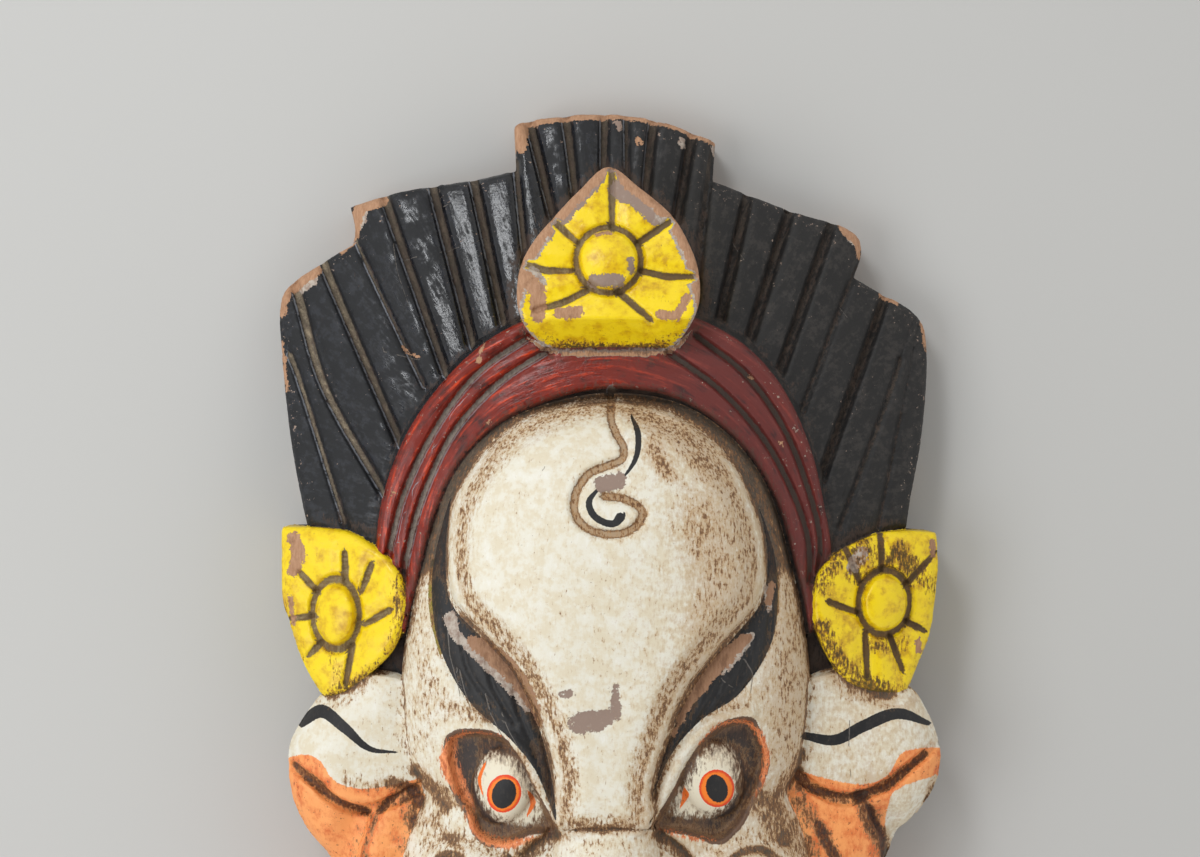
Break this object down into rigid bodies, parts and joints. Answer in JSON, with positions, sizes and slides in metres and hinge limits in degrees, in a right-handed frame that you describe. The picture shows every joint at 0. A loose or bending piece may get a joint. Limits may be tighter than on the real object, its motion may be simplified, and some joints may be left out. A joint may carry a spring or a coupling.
{
  "type": "cham dance mask",
  "caption": "Carved and painted wooden dance mask with a fluted crest, headband, flower ornaments, bulging forehead, large ears and a hollow back; it lies face up.",
  "frame": {"origin": "middle of the flat back, on the surface that the mask lies on", "axes": "+Z is the way the face looks, up when the mask lies; +Y runs from the chin to the crest; +X is to the right of someone who looks at the face"},
  "size_m": [0.2866, 0.4353, 0.1172],
  "materials": {
    "painted_wood": "hand painted in white, black, red, yellow and orange, worn to the wood at the edges"
  },
  "bodies": {
    "root": {"mask": "painted_wood"}
  },
  "joints": []
}
